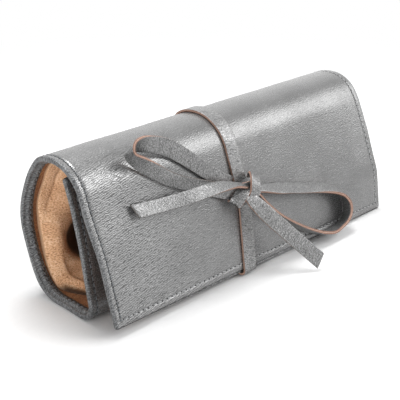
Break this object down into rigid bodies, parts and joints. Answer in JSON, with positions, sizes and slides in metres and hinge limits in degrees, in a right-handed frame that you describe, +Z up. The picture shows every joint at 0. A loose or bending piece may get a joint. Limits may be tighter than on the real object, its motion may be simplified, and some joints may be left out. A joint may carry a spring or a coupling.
{
  "type": "jewelry roll",
  "caption": "Padded leather jewelry roll, rolled up and tied with a flat leather lace in a bow, with a suede-lined inside that has zipped pockets and a padded ring bar.",
  "frame": {"origin": "on the ground under the middle of the rolled-up roll, bow left out", "axes": "+X along the roll, towards its right end as seen from the flap; +Y towards the rounded back; +Z up"},
  "size_m": [0.23, 0.1055, 0.0929],
  "materials": {
    "pewter_leather": "grained, pewter metallic, satin",
    "lace_leather": "pewter metallic, satin, raw tan edges",
    "stiffener_board": "matte",
    "tan_suede": "suede",
    "zip_tape": "woven, matte",
    "nickel": "nickel plated"
  },
  "bodies": {
    "body": {"back_leather": "pewter_leather", "back_board": "stiffener_board", "back_lining": "tan_suede", "lace_over_back": "lace_leather", "lace_under": "lace_leather", "upper_pocket": "tan_suede", "lower_pocket": "tan_suede", "upper_zip_tape_top": "zip_tape", "upper_zip_tape_bottom": "zip_tape", "upper_zip_teeth": "nickel", "upper_zip_stop_left": "nickel", "upper_zip_stop_right": "nickel", "lower_zip_tape_top": "zip_tape", "lower_zip_tape_bottom": "zip_tape", "lower_zip_teeth": "nickel", "lower_zip_stop_left": "nickel", "lower_zip_stop_right": "nickel"},
    "flap": {"flap_leather": "pewter_leather", "flap_board": "stiffener_board", "flap_lining": "tan_suede", "lace_front_upper": "lace_leather", "lace_front_lower": "lace_leather", "knot_core": "lace_leather", "knot_wrap": "lace_leather", "bow_loop_left": "lace_leather", "bow_loop_right": "lace_leather", "bow_tail_left": "lace_leather", "bow_tail_right": "lace_leather"},
    "inner_panel": {"inner_leather": "pewter_leather", "inner_board": "stiffener_board", "inner_lining": "tan_suede", "ring_bar_anchor": "tan_suede", "snap_stud": "nickel"},
    "ring_bar": {"ring_bar": "tan_suede", "ring_bar_tab": "tan_suede", "snap_socket": "nickel", "snap_cap": "nickel"},
    "upper_slider": {"upper_zip_slider": "nickel"},
    "upper_pull": {"upper_zip_pull": "nickel"},
    "lower_slider": {"lower_zip_slider": "nickel"},
    "lower_pull": {"lower_zip_pull": "nickel"}
  },
  "joints": [
    {"name": "flap_fold", "type": "hinge", "parent": "body", "child": "flap", "pos_m": [0, -0.00835, 0.08352], "axis": [-1, 0, 0], "range_deg": [0, 105]},
    {"name": "inner_panel_fold", "type": "hinge", "parent": "body", "child": "inner_panel", "pos_m": [0, -0.01701, 0.00293], "axis": [1, 0, 0], "range_deg": [0, 16]},
    {"name": "ring_bar_swing", "type": "hinge", "parent": "inner_panel", "child": "ring_bar", "pos_m": [-0.082, -0.00852, 0.04341], "axis": [0, 0.203, 0.9792], "range_deg": [0, 3]},
    {"name": "upper_zip_slide", "type": "slide", "parent": "body", "child": "upper_slider", "axis": [-1, 0, 0], "range_m": [0, 0.122]},
    {"name": "upper_pull_swing", "type": "hinge", "parent": "upper_slider", "child": "upper_pull", "pos_m": [0.0615, 0.0122, 0.058], "axis": [0, -0.5299, 0.848], "range_deg": [0, 50]},
    {"name": "lower_zip_slide", "type": "slide", "parent": "body", "child": "lower_slider", "axis": [-1, 0, 0], "range_m": [0, 0.122]},
    {"name": "lower_pull_swing", "type": "hinge", "parent": "lower_slider", "child": "lower_pull", "pos_m": [0.0615, 0.01339, 0.02408], "axis": [0, 0.4695, 0.8829], "range_deg": [0, 50]}
  ],
  "couplings": [
    {"joint": "inner_panel_fold", "follows": "flap_fold", "ratio": 0.15}
  ]
}
